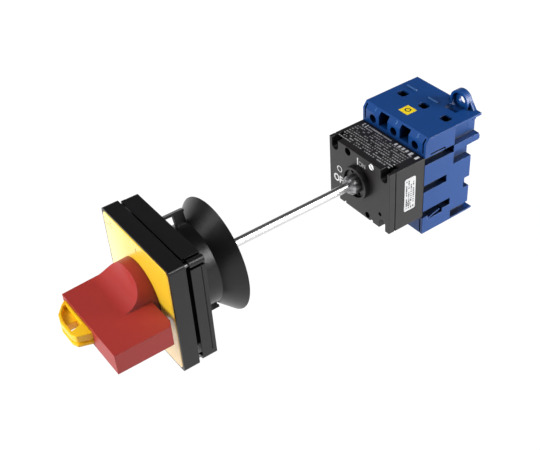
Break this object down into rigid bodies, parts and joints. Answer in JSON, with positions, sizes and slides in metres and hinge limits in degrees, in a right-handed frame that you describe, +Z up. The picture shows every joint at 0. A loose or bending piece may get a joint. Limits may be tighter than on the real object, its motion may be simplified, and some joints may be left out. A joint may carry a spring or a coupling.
{
  "type": "rotary isolator switch with door handle",
  "caption": "Door-coupled rotary isolator switch: blue contact block, black mechanism box, long shaft, and a red padlockable handle on a yellow plate.",
  "frame": {"origin": "where the shaft axis meets the back face of the block", "axes": "+Y along the shaft from the handle to the mounting panel, +Z up, +X to the right as seen from the handle"},
  "size_m": [0.0705, 0.2505, 0.0835],
  "materials": {
    "blue_plastic": "fine satin moulding",
    "copper": "plain stamped copper",
    "zinc_steel": "zinc plated",
    "box_plastic": "matte moulding",
    "spring_steel": "bright spring steel",
    "dark_steel": "blackened steel",
    "white_label": "printed film",
    "yellow_label": "printed film",
    "rotor_plastic": "plain moulding",
    "bright_steel": "drawn and bright",
    "yellow_plate": "satin yellow",
    "black_plastic": "satin moulding",
    "black_rubber": "soft seal",
    "red_plastic": "satin moulding",
    "yellow_plastic": "glossy moulding"
  },
  "bodies": {
    "base": {"contact_housing": "blue_plastic", "rear_base": "blue_plastic", "line_contacts": "copper", "load_contacts": "copper", "line_clamps": "zinc_steel", "load_clamps": "zinc_steel", "line_screws": "zinc_steel", "load_screws": "zinc_steel", "mechanism_box": "box_plastic", "mechanism_cover": "box_plastic", "cover_screw": "bright_steel", "detent_springs": "spring_steel", "box_screws": "dark_steel", "type_label": "white_label", "warning_sticker": "yellow_label"},
    "rotor_unit": {"rotor": "rotor_plastic", "shaft": "bright_steel", "hub_screw": "dark_steel"},
    "carriage_unit": {"contact_carriage": "rotor_plastic", "contact_bridges": "copper", "bridge_springs": "spring_steel"},
    "door_unit": {"front_plate": "yellow_plate", "front_frame": "black_plastic", "door_seal": "black_rubber", "rear_frame": "black_plastic", "fixing_screws": "dark_steel", "shaft_guide": "black_plastic"},
    "handle_unit": {"handle": "red_plastic", "coupler": "zinc_steel", "coupler_pin": "dark_steel", "retaining_ring": "spring_steel"},
    "slide_unit": {"padlock_slide": "yellow_plastic"}
  },
  "joints": [
    {"name": "door_pull", "type": "slide", "parent": "base", "child": "door_unit", "axis": [0, -1, 0], "range_m": [0, 0.06]},
    {"name": "handle_turn", "type": "hinge", "parent": "door_unit", "child": "handle_unit", "pos_m": [0, -0.205, 0], "axis": [0, 1, 0], "range_deg": [0, 90]},
    {"name": "rotor_turn", "type": "hinge", "parent": "base", "child": "rotor_unit", "pos_m": [0, -0.0665, 0], "axis": [0, 1, 0], "range_deg": [0, 90], "deforming": ["detent_springs"]},
    {"name": "carriage_move", "type": "slide", "parent": "base", "child": "carriage_unit", "axis": [1, 0, 0], "range_m": [0, 0.00424]},
    {"name": "padlock_push", "type": "slide", "parent": "handle_unit", "child": "slide_unit", "axis": [0, 1, 0], "range_m": [0, 0.007]}
  ],
  "couplings": [
    {"joint": "rotor_turn", "follows": "handle_turn", "ratio": 1},
    {"joint": "carriage_move", "follows": "handle_turn", "m_per_rad": 0.0027}
  ]
}
